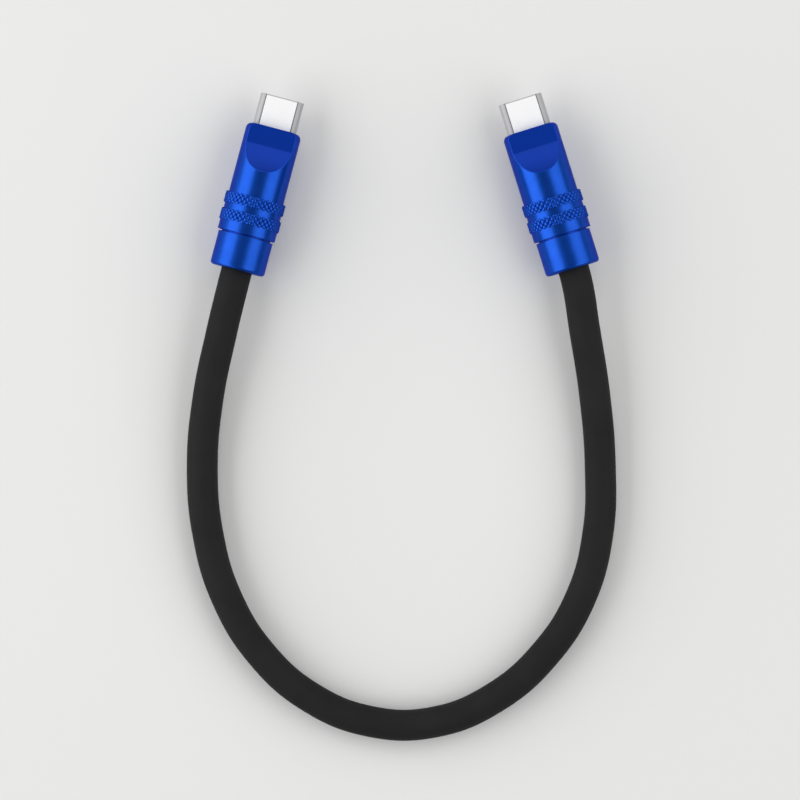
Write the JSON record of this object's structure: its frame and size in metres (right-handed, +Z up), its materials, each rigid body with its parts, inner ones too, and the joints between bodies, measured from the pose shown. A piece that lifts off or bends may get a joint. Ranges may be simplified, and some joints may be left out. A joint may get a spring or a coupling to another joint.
{
  "type": "charging cable",
  "caption": "Short thick charging cable with a flat reversible plug on each end, in machined metal housings with knurled grip bands, laid in an open loop.",
  "frame": {"origin": "on the surface that the cable lies on, under the middle of the box round the two plugs with their housings, the cable itself left out", "axes": "+Z up; +Y from the bend of the loop towards the plugs' tips; +X from plug a to plug b"},
  "size_m": [0.0798, 0.12, 0.0115],
  "materials": {
    "shell_steel": "fine polished stainless",
    "anodised_blue": "satin blue anodised",
    "insulator_black": "moulded",
    "contact_gold": "gold plated",
    "spring_steel": "stamped",
    "card_green": "solder mask",
    "chip_black": "moulded",
    "wire_copper": "tinned copper strands",
    "mould_white": "moulded",
    "ferrule_brass": "crimped",
    "bush_rubber": "matt",
    "jacket_black": "smooth matt",
    "braid_tin": "braided",
    "core_red": "wire insulation",
    "core_white": "wire insulation"
  },
  "bodies": {
    "root": {"plug_shell_a": "shell_steel", "tongue_insulator_a": "insulator_black", "contacts_upper_a": "contact_gold", "contacts_lower_a": "contact_gold", "latch_spring_a": "spring_steel", "ground_springs_a": "spring_steel", "paddle_card_a": "card_green", "card_chips_a": "chip_black", "wire_tails_a": "wire_copper", "inner_mould_a": "mould_white", "crimp_ferrule_a": "ferrule_brass", "front_housing_a": "anodised_blue", "grip_ring_a": "anodised_blue", "rear_collar_a": "anodised_blue", "cable_bush_a": "bush_rubber", "plug_shell_b": "shell_steel", "tongue_insulator_b": "insulator_black", "contacts_upper_b": "contact_gold", "contacts_lower_b": "contact_gold", "latch_spring_b": "spring_steel", "ground_springs_b": "spring_steel", "paddle_card_b": "card_green", "card_chips_b": "chip_black", "wire_tails_b": "wire_copper", "inner_mould_b": "mould_white", "crimp_ferrule_b": "ferrule_brass", "front_housing_b": "anodised_blue", "grip_ring_b": "anodised_blue", "rear_collar_b": "anodised_blue", "cable_bush_b": "bush_rubber", "cable_jacket": "jacket_black", "cable_shield": "braid_tin", "power_core": "core_red", "signal_core": "core_white"}
  },
  "joints": []
}
